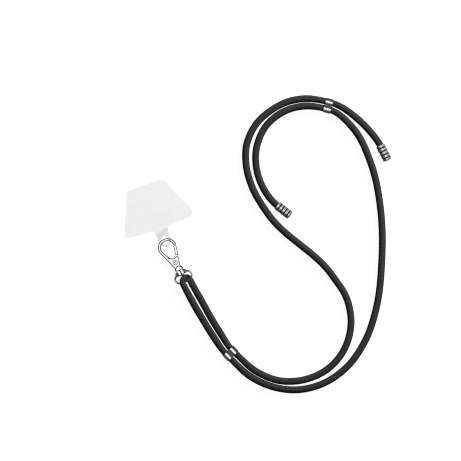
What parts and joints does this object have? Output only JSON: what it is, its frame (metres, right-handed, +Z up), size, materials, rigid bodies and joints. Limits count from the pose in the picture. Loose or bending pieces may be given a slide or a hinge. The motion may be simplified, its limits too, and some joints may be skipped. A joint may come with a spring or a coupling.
{
  "type": "phone crossbody strap",
  "caption": "Phone crossbody strap: a round cord doubled through a swivel trigger hook, with metal slides and end caps, and a clear patch that goes between a phone and its case.",
  "frame": {"origin": "on the flat underside of the clear phone patch, near its middle", "axes": "+Z up from the surface that the strap lies on, +X to the right and +Y away as the strap is seen from above"},
  "size_m": [0.2663, 0.2977, 0.0093],
  "materials": {
    "cord_braid": "fine braided polyester, charcoal black",
    "bright_nickel": "polished nickel plate",
    "clear_patch": "clear soft plastic sheet"
  },
  "bodies": {
    "strap": {"cord": "cord_braid", "slide_upper": "bright_nickel", "slide_lower": "bright_nickel", "end_cap_outer": "bright_nickel", "end_cap_inner": "bright_nickel", "swivel_bail": "bright_nickel"},
    "hook": {"hook_frame": "bright_nickel", "gate_rivet": "bright_nickel", "phone_patch": "clear_patch"},
    "gate": {"hook_gate": "bright_nickel"}
  },
  "joints": [
    {"name": "swivel", "type": "hinge", "parent": "strap", "child": "hook", "pos_m": [0.0135, -0.0376, 0.0045], "axis": [0.4756, -0.8796, 0], "continuous": true},
    {"name": "gate_pivot", "type": "hinge", "parent": "hook", "child": "gate", "pos_m": [0.02149, -0.05238, 0.0045], "axis": [0, 0, 1], "range_deg": [0, 15], "stiffness_Nm_per_rad": 0.05, "springref_deg": -11.46}
  ]
}
